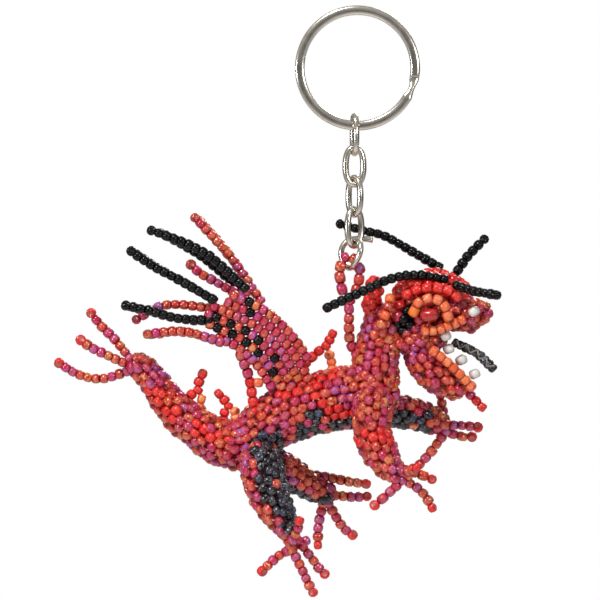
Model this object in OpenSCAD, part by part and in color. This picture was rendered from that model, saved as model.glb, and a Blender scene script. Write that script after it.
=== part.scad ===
// Beaded dragon key ring: woven seed-bead creature that hangs from a cable chain and a split ring.
// Origin at the centre of the split ring, +Z up, +X towards the dragon's head, -Y the near side.

/* [Seed beads] */
// Outside diameter of a seed bead
bead_d = 2.1; // [1.9:0.05:2.1]
// Length of a seed bead along its hole
bead_len = 1.4; // [1.2:0.05:1.4]
// Diameter of a bead's hole
bead_hole = 0.8; // [0.6:0.05:0.9]
// Distance from bead to bead on a thread
bead_pitch = 1.52; // [1.52:0.02:1.6]
// Diameter of the nylon thread
thread_d = 0.25; // [0.2:0.05:0.3]

/* [Split ring] */
// Outside diameter of the split ring
ring_od = 25; // [25:0.05:25.1]
// Width of the ring's wire across the coil
ring_wire_w = 1.9; // [1.8:0.05:1.9]
// Thickness of one coil of the ring
ring_wire_t = 0.94; // [0.9:0.02:0.94]

/* [Chain] */
// Wire diameter of the chain and the open link
link_wire = 1.2; // [1.1:0.05:1.2]
// Outside length of a chain link
link_l = 8.7; // [8.7:0.02:8.76]
// Outside width of a chain link
link_w = 4.9; // [4.9:0.05:5]

/* [Weave] */
// Thickness of a wing panel, one layer of beads
wing_t = 2.1; // [2:0.05:2.1]
// Clearance round a limb's root in its socket
socket_gap = 0.35; // [0.35:0.05:0.5]

/* [Hidden] */

bead_r = bead_d / 2;
link_r = link_wire / 2;
link_turn_r = (link_w - link_wire) / 2;
link_straight = link_l - link_w;
ring_mean_r = (ring_od - ring_wire_w) / 2;
coil_offset = ring_wire_t / 2 + 0.03;

// ---------------------------------------------------------------- curves

function unit(v) = v / norm(v);
function lerp(a, b, t) = a + (b - a) * t;

// Point at t on the stretch of a smooth curve between p[i] and p[i + 1]
function spline_point(p, i, t) =
    let (a = p[max(i - 1, 0)], b = p[i], c = p[i + 1], d = p[min(i + 2, len(p) - 1)])
    0.5 * (2 * b + (c - a) * t + (2 * a - 5 * b + 4 * c - d) * t * t + (3 * b - a - 3 * c + d) * t * t * t);

function smooth_line(p, steps = 8) = concat(
    [for (i = [0 : len(p) - 2], k = [0 : steps - 1]) spline_point(p, i, k / steps)],
    [p[len(p) - 1]]
);

// Distance along a line at each of its points
function run(line, i = 0, sum = 0, out = []) =
    i == len(line) ? out :
    let (s = i == 0 ? 0 : sum + norm(line[i] - line[i - 1]))
    run(line, i + 1, s, concat(out, [s]));

// A line that can be walked: [x by distance, y by distance, z by distance, length]
function walkable(line) = let (s = run(line), n = len(line) - 1) [
    [for (i = [0 : n]) [s[i], line[i].x]],
    [for (i = [0 : n]) [s[i], line[i].y]],
    [for (i = [0 : n]) [s[i], line[i].z]],
    s[n]
];
function at(walk, s) = [lookup(s, walk[0]), lookup(s, walk[1]), lookup(s, walk[2])];
function heading(walk, s, reach = 0.3) =
    unit(at(walk, min(s + reach, walk[3])) - at(walk, max(s - reach, 0)));

// Bead places along points: as many as fit at the pitch, spread evenly from end to end
function bead_count(points, pitch) = max(2, floor(walkable(smooth_line(points))[3] / pitch) + 1);
function bead_place(walk, i, n) = let (s = walk[3] * i / (n - 1)) [at(walk, s), heading(walk, s)];

// ---------------------------------------------------------------- beads and threads

module point_to(dir) {
    rotate([0, acos(dir.z), atan2(dir.y, dir.x)]) children();
}

// A seed bead on the Z axis: a glass ring with rounded ends
module bead(d = bead_d, length = bead_len) {
    r = d / 2;
    hole_r = bead_hole / 2;
    rotate_extrude($fn = 24) polygon([
        [hole_r, -0.38 * length], [hole_r + 0.18 * r, -length / 2], [0.66 * r, -0.46 * length],
        [0.93 * r, -0.26 * length], [r, 0], [0.93 * r, 0.26 * length],
        [0.66 * r, 0.46 * length], [hole_r + 0.18 * r, length / 2], [hole_r, 0.38 * length]
    ]);
}

// A row of beads along a smooth curve through points
module strand(points, pitch = bead_pitch, d = bead_d, length = bead_len) {
    walk = walkable(smooth_line(points));
    n = bead_count(points, pitch);
    for (i = [0 : n - 1]) {
        place = bead_place(walk, i, n);
        translate(place[0]) point_to(place[1]) bead(d, length);
    }
}

// Skin of a tube: rings of points joined by faces, with flat ends
module skin(rings) {
    sides = len(rings[0]);
    last = len(rings) - 1;
    points = [for (ring = rings, p = ring) p];
    walls = [for (i = [0 : last - 1], k = [0 : sides - 1]) let (m = (k + 1) % sides) each [
        [i * sides + k, (i + 1) * sides + m, i * sides + m],
        [i * sides + k, (i + 1) * sides + k, (i + 1) * sides + m]
    ]];
    ends = [
        [for (k = [0 : sides - 1]) k],
        [for (k = [sides - 1 : -1 : 0]) last * sides + k]
    ];
    polyhedron(points, concat(walls, ends), convexity = 10);
}

// The nylon thread of a strand, which runs down the middle of its beads. A strand that turns tightly
// takes a few rings for each bead, so that the thread stays inside the holes.
module thread(points, pitch = bead_pitch, per_bead = 1, sides = 4) {
    walk = walkable(smooth_line(points));
    n = (bead_count(points, pitch) - 1) * per_bead + 1;
    skin([for (i = [0 : n - 1])
        let (place = bead_place(walk, i, n), u = unit(cross(place[1], [0.13, 0.97, 0.21])), v = cross(place[1], u))
        [for (k = [0 : sides - 1]) place[0] + thread_d / 2 * (u * cos(360 * k / sides) + v * sin(360 * k / sides))]
    ]);
}

// A woven tube whose ends are domes about the first and last points of its spine.
// sizes holds [height, depth] half-sizes, one for each point.
module weave(spine, sizes, sides = 12, rings = 8) {
    walk = walkable(smooth_line(spine));
    total = walk[3];
    last = len(spine) - 1;
    marks = [for (i = [0 : last]) nearest_run(walk, spine[i])];
    heights = [for (i = [0 : last]) [marks[i], sizes[i][0]]];
    depths = [for (i = [0 : last]) [marks[i], sizes[i][1]]];
    turns = [18, 42, 66];
    stations = concat(
        [for (a = turns) [-sizes[0][0] * cos(a), sin(a)]],
        [for (i = [0 : rings - 1]) [total * i / (rings - 1), 1]],
        [for (i = [2 : -1 : 0]) [total + sizes[last][0] * cos(turns[i]), sin(turns[i])]]
    );
    skin([for (st = stations)
        let (
            s = max(0, min(total, st[0])),
            t = heading(walk, s),
            middle = at(walk, s) + (st[0] - s) * t,
            u = unit(cross(t, [0, 1, 0])),
            v = cross(t, u)
        )
        [for (k = [0 : sides - 1])
            middle + st[1] * (lookup(s, heights) * cos(360 * k / sides) * u
                + lookup(s, depths) * sin(360 * k / sides) * v)]
    ]);
}

// Distance along a walked line at its point nearest to p
function nearest_run(walk, p) =
    let (steps = [for (i = [0 : 60]) walk[3] * i / 60], gaps = [for (s = steps) norm(at(walk, s) - p)])
    [for (i = [0 : 60]) if (gaps[i] == min(gaps)) steps[i]][0];

// ---------------------------------------------------------------- split ring and chain

ring_start = -9;
ring_crank_from = 330;
ring_crank_to = 348;
ring_end = 688;
ring_step = 10.25;

// Two coils of flattened wire that step from the front coil to the back one at the crank
module split_ring() {
    section = [[1, 0], [0.86, 0.62], [0.45, 1], [-0.45, 1], [-1, 0.3], [-1, -0.3], [-0.45, -1], [0.45, -1], [0.86, -0.62]];
    n = round((ring_end - ring_start) / ring_step);
    color("silver") skin([for (i = [0 : n])
        let (
            a = lerp(ring_start, ring_end, i / n),
            y = a < ring_crank_from ? -coil_offset : a > ring_crank_to ? coil_offset
                : coil_offset * (2 * (a - ring_crank_from) / (ring_crank_to - ring_crank_from) - 1)
        )
        [for (p = section) let (r = ring_mean_r + p[0] * ring_wire_w / 2)
            [r * cos(a), y + p[1] * ring_wire_t / 2, r * sin(a)]]
    ]);
}

chain_x = -0.6;
link_1_z = -13.35;
link_drop = link_l - 2 * link_wire - 0.05;
loose_drop = link_drop - 0.2;
link_z = [link_1_z, link_1_z - link_drop, link_1_z - link_drop - loose_drop, link_1_z - 2 * link_drop - loose_drop];
link_turn = [-80, 10, -50, 40];

// An oval chain link bent from round wire, upright
module chain_link(i) {
    color("silver") translate([chain_x, 0, link_z[i]]) rotate([0, 0, link_turn[i]]) {
        for (side = [-1, 1]) translate([side * link_turn_r, 0, -link_straight / 2])
            cylinder(r = link_r, h = link_straight, $fn = 32);
        for (end = [0, 180]) rotate([0, end, 0]) translate([0, 0, link_straight / 2])
            rotate([90, 0, 0]) rotate_extrude(angle = 180, $fn = 48)
                translate([link_turn_r, 0]) circle(r = link_r, $fn = 32);
    }
}

// An oval link that was pulled open sideways to take the bead loop
open_link_route = [
    [3.1, 2.9, -34.4], [0.9, 3, -34.1], [-1.6, 2.9, -34.4], [-3, 2.7, -35.8], [-3.2, 2.6, -37.6],
    [-2.6, 2.1, -39.2], [-1.9, 1.1, -39.9], [-1.5, 0, -40], [-1.1, -1.1, -39.9], [-0.4, -2.1, -38.9],
    [0.4, -2.6, -37.2], [0.6, -2.4, -35.8], [0.35, -1.5, -34.8], [-0.6, 0, -34.35], [-1.5, 1.1, -34.8]
];
module open_link(sides = 10) {
    walk = walkable(smooth_line(open_link_route));
    n = 32;
    color("silver") skin([for (i = [0 : n])
        let (s = walk[3] * i / n, t = heading(walk, s), u = unit(cross(t, [0.5, 0.75, 0.2])), v = cross(t, u))
        [for (k = [0 : sides - 1]) at(walk, s) + link_r * (u * cos(360 * k / sides) + v * sin(360 * k / sides))]
    ]);
}

// ---------------------------------------------------------------- hanging loop

loop_route = [
    [-1.3, 0, -46.2], [-2.9, 0, -44.5], [-3.6, 0, -42.2], [-3.4, 0, -39.8], [-1.5, 0, -37.9],
    [0.4, 0, -39.8], [0.6, 0, -42.2], [0, 0, -44.4]
];
stem_route = [[-1.4, 0, -48], [-1.5, 0, -51], [-1.6, 0, -54]];
loop_pitch = 1.85;

module hanging_loop() color("firebrick") {
    strand(loop_route, loop_pitch);
    strand(stem_route);
}
module hanging_loop_thread() color("mistyrose") {
    thread(loop_route, loop_pitch, per_bead = 4);
    thread(stem_route);
}

// ---------------------------------------------------------------- limb roots

tail_root = [-27.5, 0, -75];
neck_top = [5.3, 0, -52];
front_near_root = [3, -5.4, -67.6];
front_far_root = [4.8, 5.6, -68.4];
hind_near_root = [-19.3, -4.6, -79];
hind_far_root = [-16, 4.8, -79.4];
tail_root_r = 4.8;
neck_top_r = 4.6;
front_near_root_r = 4.2;
front_far_root_r = 3.5;
hind_near_root_r = 4.5;
hind_far_root_r = 3.4;

// Hollow that a ball nests in
module socket(root, r) {
    translate(root) sphere(r = r + socket_gap, $fn = 40);
}

// ---------------------------------------------------------------- torso and neck

torso_spine = [[-26.5, 0, -75], [-22.6, 0, -75.2], [-18, 0, -71.6], [-12, 0, -68.2], [-4, 0, -66.2], [2.6, 0, -65]];
torso_sizes = [[5, 4.8], [5.5, 5], [5.6, 5.1], [6.2, 5.2], [6.4, 5.3], [6.2, 5.1]];
neck_spine = [[3.4, 0, -63.5], [3.8, 0, -57.5], neck_top];
neck_sizes = [[5.4, 4.9], [4.7, 4.6], [neck_top_r, neck_top_r]];

module torso_weave() color("crimson") difference() {
    weave(torso_spine, torso_sizes, rings = 12);
    socket(tail_root, tail_root_r);
    socket(hind_near_root, hind_near_root_r);
    socket(hind_far_root, hind_far_root_r);
    socket(front_near_root, front_near_root_r);
    socket(front_far_root, front_far_root_r);
}
module neck_weave() color("crimson") difference() {
    weave(neck_spine, neck_sizes);
    socket(front_near_root, front_near_root_r);
    socket(front_far_root, front_far_root_r);
}

mane_rows = [
    [[1.9, 0.9, -47.1], [2.1, 0.9, -45.6], [2.6, 0.9, -44.1]],
    [[3.9, 2.4, -46.6], [3.9, 2.4, -45], [3.9, 2.2, -43.5], [3.7, 1.8, -42]],
    [[3.6, -1.4, -46.4], [3.7, -1.4, -44.9], [4, -1.3, -43.4]]
];
picot_route = [[4.8, -5.6, -51.2], [5.4, -5.9, -49.6], [6, -5.4, -47.8], [6.4, -4.6, -46.2]];
back_spike_route = [[-9.9, 0, -59.2], [-8.9, 0, -57.4], [-7.4, 0, -56.2], [-6, 0, -55.2], [-4.6, 0, -53.2]];
back_spike_prop = [[-5, 0, -58.4], [-5.3, 0, -57]];

module mane_beads() color("red") for (row = mane_rows) strand(row);
module neck_picot() color("orange") strand(picot_route);
module back_spike() {
    color("red") strand(back_spike_route);
    color("orange") strand(back_spike_prop, d = 1.9, length = 1.3);
}
module torso_thread() color("mistyrose") {
    for (row = mane_rows) thread(row);
    thread(picot_route);
    thread(back_spike_route);
}

// ---------------------------------------------------------------- tail

tail_spine = [tail_root, [-33.2, 0, -71.2], [-37.4, 0, -67.2], [-40.5, 0, -62.8], [-43.4, 0, -59.7]];
tail_sizes = [[tail_root_r, tail_root_r], [4.2, 3.9], [3.7, 3.4], [3.2, 3], [2.9, 2.7]];
tail_tips = [
    [[-47.5, 0.4, -55.6], [-49, 0.9, -53.8], [-51.3, 1.2, -51.6], [-53.3, 1, -49]],
    [[-48.4, -0.9, -58.2], [-50.5, -1.4, -57.2], [-53, -1.6, -56], [-55.3, -1.4, -54.4]],
    [[-47.6, 0.6, -61.2], [-50.5, 0.9, -62.1], [-53.5, 1, -62], [-56.5, 0.8, -61], [-59.7, 0.4, -59]]
];
tail_spikes = [
    [[-26.6, 0, -68.7], [-26, 0, -67.2], [-26.5, 0, -66], [-27.8, 0, -64.9]],
    [[-32.5, 0, -64.7], [-31.8, 0, -63], [-31.1, 0, -61.2]]
];
tail_spike_props = [
    [[-24.3, 0, -68.5], [-24.4, 0, -67]],
    [[-30.3, 0, -65.9], [-30, 0, -64.4]]
];

module tail_weave() color("crimson") weave(tail_spine, tail_sizes, rings = 12);
module tail_tip(i) color("firebrick") strand(tail_tips[i]);
module tail_spike(i) {
    color("red") strand(tail_spikes[i]);
    color("orange") strand(tail_spike_props[i], d = 1.9, length = 1.3);
}
module tail_thread() color("mistyrose") {
    for (tip = tail_tips) thread(tip);
    for (spike = tail_spikes) thread(spike);
}

// ---------------------------------------------------------------- wings

// The near wing's panel is drawn flat, in X and Z, and leans out from its root.
// Corners: front of the tip, front of the root, back of the root, back of the tip.
wing_outline = [
    [-22.4, -44.8], [-17, -49.5], [-12.2, -55.2], [-9.8, -59.4], [-11.6, -61.4], [-17.4, -62.6], [-20.6, -60.5],
    [-23.6, -57.9], [-28.6, -54.1], [-29.7, -50.5], [-28.6, -47], [-25.2, -45.2]
];
wing_lean = 10;
wing_root = [-14.4, -3.2, -61.8];
wing_root_axis = unit([7.4, 0, 1.6]);
wing_black = [
    [[-41, -8.8, -32.6], [-35, -8.2, -34.8], [-29.5, -7.7, -37.6], [-23.6, -7, -42.9]],
    [[-45, -8.4, -36.7], [-40.5, -7.9, -39.8], [-35.5, -7.4, -42.4], [-30.3, -6.7, -45.4]],
    [[-46.1, -8, -47.5], [-41, -7.5, -48.6], [-36.5, -6.8, -49.9], [-31.2, -6.1, -50.4]]
];
wing_red = [
    [[-32.4, -4.8, -30], [-28.9, -4.8, -33.8], [-25.3, -4.8, -37.9], [-21.2, -4.8, -43.8]],
    [[-44.1, -4.6, -50.3], [-39.8, -4.6, -47.8], [-35.7, -4.7, -47.3], [-31.2, -4.8, -47.8]],
    [[-41.8, -6.4, -53.2], [-37, -6.3, -52.6], [-33.5, -6.1, -52.8], [-30.5, -5.8, -53.7]]
];
far_black = [
    [[-39.5, 8.8, -32.9], [-34, 8.2, -35.9], [-28.8, 7.7, -39.6], [-24.4, 7, -43.6]],
    [[-44.2, 8.4, -37.2], [-40.2, 7.9, -40], [-35.3, 7.4, -42.6], [-30.3, 6.7, -45.6]],
    [[-45.4, 8, -47.9], [-40.8, 7.5, -48.9], [-36.4, 6.8, -50.1], [-31.2, 6.1, -50.6]]
];
far_red = [
    [[-31.6, 4.8, -30.6], [-27.9, 4.8, -34.6], [-24.6, 4.8, -38.8], [-21.2, 4.8, -43.8]],
    [[-33.4, 4.8, -39.3], [-31.6, 4.8, -41], [-29, 4.8, -42.4], [-26.4, 4.9, -43.9]],
    [[-41.2, 6.4, -53.4], [-37, 6.3, -52.8], [-33.5, 6.1, -53], [-30.5, 5.8, -53.9]]
];

// One layer of beads, tilted outwards about the root so that the tips spread
module wing_panel() {
    translate(wing_root) rotate(a = wing_lean, v = wing_root_axis) translate(-wing_root)
        translate([0, wing_root.y + wing_t / 2, 0]) rotate([90, 0, 0]) linear_extrude(wing_t)
            polygon(wing_outline);
}
module wing_near_weave() color("crimson") wing_panel();
module wing_far_weave() color("crimson") mirror([0, 1, 0]) wing_panel();
module ribs(routes, tint) color(tint) for (route = routes) strand(route);
module rib_threads(routes) color("mistyrose") for (route = routes) thread(route);

// ---------------------------------------------------------------- legs

front_near_spine = [front_near_root, [3, -7.8, -73.6], [5.4, -9, -78.2], [7.4, -9.6, -81]];
front_near_sizes = [[front_near_root_r, front_near_root_r], [3.9, 3.5], [3.5, 3], [2.4, 2.3]];
front_far_spine = [front_far_root, [10.8, 7.2, -69.3], [15.4, 8.4, -70.6]];
front_far_sizes = [[front_far_root_r, front_far_root_r], [3.4, 3.1], [2.9, 2.6]];
hind_near_spine = [hind_near_root, [-18, -6.8, -84.4], [-15.4, -8.2, -89.6], [-13.6, -9, -92.7]];
hind_near_sizes = [[hind_near_root_r, hind_near_root_r], [4.5, 3.8], [3.4, 2.9], [2.3, 2.2]];
hind_far_spine = [hind_far_root, [-10.6, 7, -83.2], [-6.6, 8.2, -85.2]];
hind_far_sizes = [[hind_far_root_r, hind_far_root_r], [3.2, 3], [2.6, 2.4]];

front_near_toes = [
    [[10, -11.8, -80.2], [10.9, -13.2, -79.8], [11.6, -14.5, -79.4]],
    [[10.3, -9.6, -82.8], [12.2, -9.8, -84], [13.7, -10, -85.8], [14.7, -10.2, -87.6]],
    [[11.1, -9, -80.6], [12.8, -8.6, -81.2], [14.7, -8.2, -82]],
    [[6.4, -10.2, -84.4], [5.1, -10.3, -85.6], [3.3, -10.4, -87.1]]
];
front_far_toes = [
    [[19.5, 8.2, -71.6], [21.8, 8, -71.7], [24.3, 7.8, -72]],
    [[19.3, 10.2, -73.4], [21.2, 10.5, -73.9], [23.2, 10.7, -74]],
    [[16.1, 9.8, -75.4], [14.8, 10.2, -77.2], [12.6, 10.5, -79.6]],
    [[17.1, 10.1, -67.2], [16.8, 10.3, -65.6]]
];
hind_near_toes = [
    [[-14.3, -8.6, -96.4], [-15.9, -8.9, -97.3], [-17.5, -9.2, -98.7], [-19, -9.4, -100.2]],
    [[-12.3, -9.9, -97.4], [-10.8, -10, -100.5], [-9.9, -10.1, -102.5], [-8.9, -10.2, -104.4]],
    [[-10.9, -8.8, -95.4], [-8.7, -8.6, -98.3], [-7.7, -8.4, -99.7], [-6.6, -8.3, -100.8]],
    [[-12.4, -12.2, -92.8], [-11.8, -13.5, -91.4], [-11.6, -14.8, -90.1]]
];
hind_far_toes = [
    [[-3.3, 7.6, -82.6], [-1.2, 7.4, -83], [1.8, 7.2, -83.4]],
    [[-2.8, 9.2, -85.9], [-0.6, 9.4, -86.1], [2, 9.6, -86]],
    [[-7.2, 9.3, -89], [-7.8, 9.5, -91.9], [-7.9, 9.6, -95.8]],
    [[-5, 9.7, -88.8], [-3.7, 10.3, -91], [-2.5, 10.7, -92.6], [-0.9, 11, -93.8]]
];

module leg(spine, sizes) color("crimson") weave(spine, sizes, sides = 10, rings = 6);
module toes(routes) color("firebrick") for (route = routes) strand(route);
module toe_threads(routes) color("mistyrose") for (route = routes) thread(route);

// ---------------------------------------------------------------- head

head_spine = [[10.2, 0, -50], [13.6, 0, -49.4], [16.6, 0, -48.9]];
head_sizes = [[4.9, 4.8], [5.2, 5], [4.3, 4.4]];
snout_spine = [[19.6, 0, -48.8], [22, 0, -49], [24.6, 0, -48.8]];
snout_sizes = [[3.7, 3.9], [3.5, 3.6], [2.7, 2.9]];

crest_rows = [
    [[14.1, 1.3, -40.9], [16.3, 1.3, -40.9], [18.3, 1.3, -41.7], [20.4, 1.3, -42.7]],
    [[15.2, -0.9, -41.6], [17.3, -0.9, -41.8], [19.3, -0.9, -42.5], [21.2, -0.9, -43.4]]
];
brow_route = [[9.9, -4.4, -45.3], [12.4, -4.8, -44.2], [15.2, -5, -44.1], [17.9, -4.9, -44.5], [19.6, -4.7, -45.8]];
eye_ring_route = [
    [11.2, -6, -48.7], [12, -6.4, -47], [13.9, -6.6, -46.1], [15.9, -6.6, -46.4],
    [17.3, -6.3, -47.7], [17.9, -6, -49.6]
];
eye_place = [14.2, -6.7, -49.4];
eye_d = 3.2;
eye_len = 2.6;
horn_near_route = [[15.8, -3, -42], [11.6, -4, -41.4], [6.5, -5, -42.2], [0.2, -5.8, -45], [-6, -6.2, -47.9]];
horn_far_route = [[15, 3.6, -39], [11.4, 4.6, -36.9], [5.6, 5.8, -33.6], [1.4, 6.4, -32.5], [-3.4, 6.8, -31.1]];
antenna_near_route = [[20.9, -5.3, -43.9], [22.9, -7.1, -44.6], [25, -9.3, -45], [27.4, -11.8, -45.4]];
antenna_far_route = [[20.2, 3.3, -40.4], [22, 4, -37.8], [23.7, 4.5, -36], [25.5, 4.9, -34.2]];
upper_lip_route = [[13.4, -5.4, -52.6], [15.9, -5.2, -52.4], [18.6, -4.9, -51.4], [20.7, -4.5, -50.4]];
upper_teeth_places = [[17.6, -3.6, -53.6], [23.2, -4.4, -48.7]];
tooth_d = 2.3;
tooth_len = 1.7;

module head_weave() color("crimson") difference() {
    weave(head_spine, head_sizes, rings = 5);
    socket(neck_top, neck_top_r);
}
module snout_weave() color("crimson") weave(snout_spine, snout_sizes, rings = 5);
module crest_beads() color("red") for (row = crest_rows) strand(row, 1.6);
module brow_beads() color("red") both_sides() strand(brow_route, 1.9);
module eye_ring_beads() color("orange") both_sides() strand(eye_ring_route, 1.75);
module both_sides() {
    children();
    mirror([0, 1, 0]) children();
}

// A faceted glass rondelle on each side, its hole along X
module eye_beads() color("darkred") both_sides() translate(eye_place) rotate([0, 90, 0])
    rotate_extrude($fn = 32) polygon([
        [bead_hole / 2, -eye_len / 2], [0.28 * eye_d, -eye_len / 2], [eye_d / 2, -0.12 * eye_len],
        [eye_d / 2, 0.12 * eye_len], [0.28 * eye_d, eye_len / 2], [bead_hole / 2, eye_len / 2]
    ]);
module teeth(places) color("white") both_sides() for (p = places)
    translate(p) rotate([90, 0, 25]) bead(tooth_d, tooth_len);
module head_thread() color("mistyrose") {
    for (row = crest_rows) thread(row, 1.6);
    for (route = [horn_near_route, horn_far_route, antenna_near_route, antenna_far_route]) thread(route);
    both_sides() {
        thread(brow_route, 1.9);
        thread(eye_ring_route, 1.75);
        thread(upper_lip_route);
    }
}

// ---------------------------------------------------------------- lower jaw

jaw_spine = [[12.9, 0, -58.1], [15.8, 0, -61.3], [19.2, 0, -63.7]];
jaw_sizes = [[3.6, 3.6], [4, 3.8], [2.8, 3]];
lower_lip_route = [[15.2, -4.3, -56.6], [17.2, -4.1, -58.2], [19.2, -3.7, -60], [21.2, -3.2, -62], [22.6, -2.6, -63.6]];
lower_teeth_places = [[18.2, -2.4, -56.2], [20.8, -2.2, -58.4], [23.4, -1.8, -61.2]];
chin_route = [[22.6, 0, -65.4], [23.8, 0, -66.6], [24.9, 0, -67.8]];
tongue_route = [[19.6, 0, -55], [21.4, 0, -55.8], [24.2, 0, -57.3], [27, 0, -60]];
tongue_d = 1.5;
tongue_len = 0.95;
tongue_pitch = 1.05;

module jaw_weave() color("crimson") difference() {
    weave(jaw_spine, jaw_sizes, rings = 6);
    socket(neck_top, neck_top_r);
    weave(head_spine, [for (size = head_sizes) size + [socket_gap, socket_gap]], rings = 5);
}
module lower_lip() color("orange") both_sides() strand(lower_lip_route);
module chin_strand() color("red") strand(chin_route);
module tongue() color("dimgray") strand(tongue_route, tongue_pitch, tongue_d, tongue_len);
module jaw_thread() color("mistyrose") {
    thread(chin_route);
    thread(tongue_route);
    both_sides() thread(lower_lip_route);
}

// ---------------------------------------------------------------- nodes

split_ring();
chain_link(0);  // chain_link_1
chain_link(1);  // chain_link_2
chain_link(2);  // chain_link_3
chain_link(3);  // chain_link_4
open_link();
hanging_loop();
hanging_loop_thread();
torso_weave();
neck_weave();
mane_beads();
neck_picot();
back_spike();
torso_thread();
tail_weave();
tail_tip(0);  // tail_tip_upper
tail_tip(1);  // tail_tip_middle
tail_tip(2);  // tail_tip_lower
tail_spike(0);  // tail_spike_front
tail_spike(1);  // tail_spike_rear
tail_thread();
wing_near_weave();
ribs(wing_black, "black");  // wing_near_black_ribs
ribs(wing_red, "firebrick");  // wing_near_red_ribs
rib_threads(concat(wing_black, wing_red));  // wing_near_thread
wing_far_weave();
ribs(far_black, "black");  // wing_far_black_ribs
ribs(far_red, "firebrick");  // wing_far_red_ribs
rib_threads(concat(far_black, far_red));  // wing_far_thread
leg(front_near_spine, front_near_sizes);  // leg_front_near_weave
toes(front_near_toes);  // leg_front_near_toes
toe_threads(front_near_toes);  // leg_front_near_thread
leg(front_far_spine, front_far_sizes);  // leg_front_far_weave
toes(front_far_toes);  // leg_front_far_toes
toe_threads(front_far_toes);  // leg_front_far_thread
leg(hind_near_spine, hind_near_sizes);  // leg_hind_near_weave
toes(hind_near_toes);  // leg_hind_near_toes
toe_threads(hind_near_toes);  // leg_hind_near_thread
leg(hind_far_spine, hind_far_sizes);  // leg_hind_far_weave
toes(hind_far_toes);  // leg_hind_far_toes
toe_threads(hind_far_toes);  // leg_hind_far_thread
head_weave();
snout_weave();
crest_beads();
brow_beads();
eye_beads();
eye_ring_beads();
color("black") strand(horn_near_route);  // horn_near
color("black") strand(horn_far_route);  // horn_far
color("black") strand(antenna_near_route);  // antenna_near
color("black") strand(antenna_far_route);  // antenna_far
color("orange") both_sides() strand(upper_lip_route);  // upper_lip
teeth(upper_teeth_places);  // upper_teeth
head_thread();
jaw_weave();
lower_lip();
teeth(lower_teeth_places);  // lower_teeth
chin_strand();
tongue();
jaw_thread();
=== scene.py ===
"""Looks of a woven seed-bead dragon key ring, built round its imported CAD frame."""
import math
import random

import bmesh
import bpy
import numpy as np
from mathutils import Matrix, Vector


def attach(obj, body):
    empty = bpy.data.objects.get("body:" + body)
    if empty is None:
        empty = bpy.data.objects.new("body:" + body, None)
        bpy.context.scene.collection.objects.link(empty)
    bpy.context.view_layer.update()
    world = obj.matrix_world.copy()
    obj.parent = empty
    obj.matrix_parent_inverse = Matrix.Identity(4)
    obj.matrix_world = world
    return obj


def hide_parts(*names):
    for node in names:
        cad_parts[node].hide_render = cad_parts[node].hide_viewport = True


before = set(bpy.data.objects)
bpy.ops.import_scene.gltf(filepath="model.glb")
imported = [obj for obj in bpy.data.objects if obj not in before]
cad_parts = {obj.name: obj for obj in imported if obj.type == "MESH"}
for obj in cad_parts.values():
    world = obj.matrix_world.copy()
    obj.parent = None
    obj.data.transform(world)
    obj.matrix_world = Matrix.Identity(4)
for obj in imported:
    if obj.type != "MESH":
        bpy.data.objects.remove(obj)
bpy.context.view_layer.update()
MM = 0.001
X, Y, Z = Vector((1, 0, 0)), Vector((0, 1, 0)), Vector((0, 0, 1))


# ---------------------------------------------------------------- studio
# A pale room with four soft boxes, as in a product shot: one high over the camera, one on each side and one
# behind. The camera is a long lens level with the middle of the figure, so the figure hardly foreshortens.

def linear(colour):
    """An sRGB hex colour as the linear values that a socket takes."""
    values = [int(colour[i:i + 2], 16) / 255 for i in (1, 3, 5)]
    return [v / 12.92 if v <= 0.04045 else ((v + 0.055) / 1.055) ** 2.4 for v in values] + [1.0]


def add_node(tree, kind, inputs, **settings):
    """Adds a shader node, sets its properties, and sets or links its inputs."""
    node = tree.nodes.new(kind)
    for name, value in settings.items():
        setattr(node, name, value)
    for name, value in inputs.items():
        if isinstance(value, bpy.types.NodeSocket):
            tree.links.new(value, node.inputs[name])
        else:
            node.inputs[name].default_value = value
    return node


def new_finish(name):
    """An empty material and its node tree."""
    finish = bpy.data.materials.new(name)
    finish.use_nodes = True
    finish.node_tree.nodes.clear()
    return finish, finish.node_tree


def close_finish(tree, **shader):
    """Ends a material in one Principled shader with the sockets given by name."""
    inputs = {name.replace("_", " "): value for name, value in shader.items()}
    surface = add_node(tree, "ShaderNodeBsdfPrincipled", inputs)
    add_node(tree, "ShaderNodeOutputMaterial", {"Surface": surface.outputs["BSDF"]})


def link(obj):
    bpy.context.scene.collection.objects.link(obj)
    return obj


def mesh_object(name, work, *finishes):
    """Turns a bmesh into an object at the origin with these materials."""
    mesh = bpy.data.meshes.new(name)
    work.to_mesh(mesh)
    work.free()
    for finish in finishes:
        mesh.materials.append(finish)
    return link(bpy.data.objects.new(name, mesh))


view_width = 120 * MM
lens_distance = 1.2
sensor_width = 36
view_centre = Vector((-11.5 * MM, 0, -46.4 * MM))
camera = link(bpy.data.objects.new("camera", bpy.data.cameras.new("camera")))
camera.location = view_centre - lens_distance * Y
camera.rotation_euler = (math.radians(90), 0, 0)
camera.data.sensor_width = sensor_width
camera.data.lens = sensor_width * lens_distance / view_width
camera.data.clip_start = 0.05
bpy.context.scene.camera = camera

world = bpy.data.worlds.new("room")
world.use_nodes = True
tree = world.node_tree
tree.nodes.clear()
# the room is bright overhead and dimmer near the floor, and its far wall is plain white
toward = add_node(tree, "ShaderNodeSeparateXYZ",
                  {"Vector": add_node(tree, "ShaderNodeTexCoord", {}).outputs["Generated"]})
height = add_node(tree, "ShaderNodeMapRange", {"Value": toward.outputs["Z"], "From Min": -0.7,
                                               "From Max": 0.8, "To Min": 0.17, "To Max": 0.44})
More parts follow.
